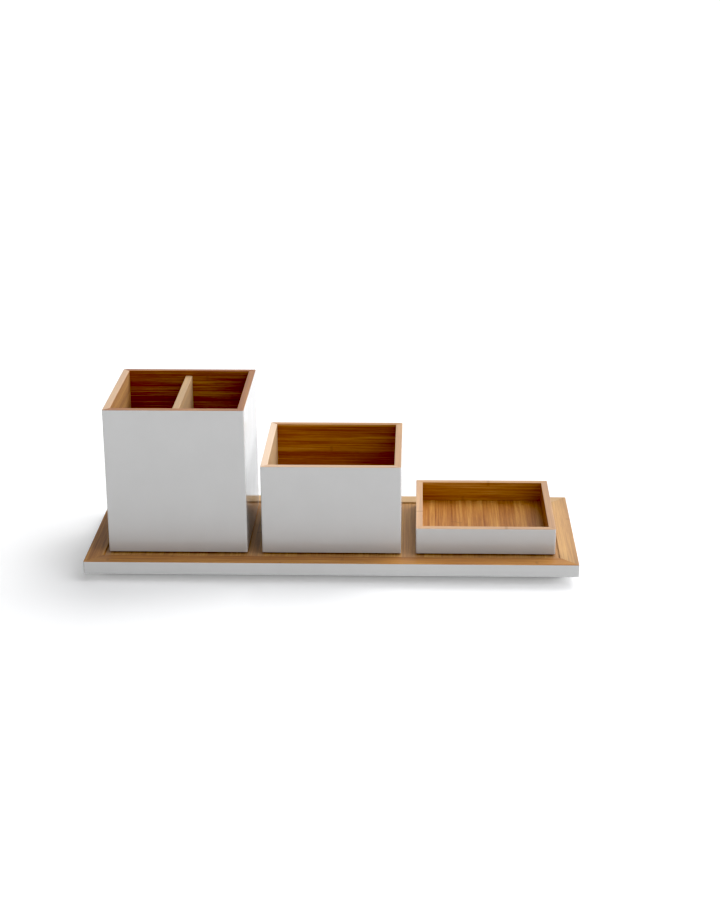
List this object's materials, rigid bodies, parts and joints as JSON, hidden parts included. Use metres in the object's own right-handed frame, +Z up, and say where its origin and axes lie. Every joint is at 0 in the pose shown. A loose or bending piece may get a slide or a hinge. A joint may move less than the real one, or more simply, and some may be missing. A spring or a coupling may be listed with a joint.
{
  "type": "desk organizer",
  "caption": "Desk organizer: a long low bamboo tray with a recess that holds a row of loose square boxes, a tall divided pen box, a lower open box and a shallow box.",
  "frame": {"origin": "on the table, under the middle of the tray", "axes": "+X along the row from the pen box to the shallow box, +Y to the back, +Z up"},
  "size_m": [0.3, 0.115, 0.1046],
  "materials": {
    "white_lacquer": "satin white lacquer on bamboo",
    "grey_lacquer": "satin grey lacquer on a board",
    "bamboo": "clear satin lacquer on laminated bamboo",
    "felt": "pressed felt",
    "rubber": "matte rubber"
  },
  "bodies": {
    "tray": {"tray_front_rail": "bamboo", "tray_back_rail": "bamboo", "tray_left_rail": "bamboo", "tray_right_rail": "bamboo", "tray_floor_panel": "bamboo", "tray_plinth": "grey_lacquer", "tray_feet": "rubber"},
    "pen_box": {"pen_box_front_wall": "white_lacquer", "pen_box_back_wall": "white_lacquer", "pen_box_left_wall": "white_lacquer", "pen_box_right_wall": "white_lacquer", "pen_box_bottom": "bamboo", "pen_box_divider": "bamboo", "pen_box_felt_pads": "felt"},
    "middle_box": {"middle_box_front_wall": "white_lacquer", "middle_box_back_wall": "white_lacquer", "middle_box_left_wall": "white_lacquer", "middle_box_right_wall": "white_lacquer", "middle_box_bottom": "bamboo", "middle_box_felt_pads": "felt"},
    "shallow_box": {"shallow_box_front_wall": "white_lacquer", "shallow_box_back_wall": "white_lacquer", "shallow_box_left_wall": "white_lacquer", "shallow_box_right_wall": "white_lacquer", "shallow_box_bottom": "bamboo", "shallow_box_felt_pads": "felt"}
  },
  "joints": [
    {"name": "pen_box_lift", "type": "slide", "parent": "tray", "child": "pen_box", "axis": [0, 0, 1], "range_m": [0, 0.1]},
    {"name": "middle_box_lift", "type": "slide", "parent": "tray", "child": "middle_box", "axis": [0, 0, 1], "range_m": [0, 0.1]},
    {"name": "shallow_box_lift", "type": "slide", "parent": "tray", "child": "shallow_box", "axis": [0, 0, 1], "range_m": [0, 0.1]}
  ]
}
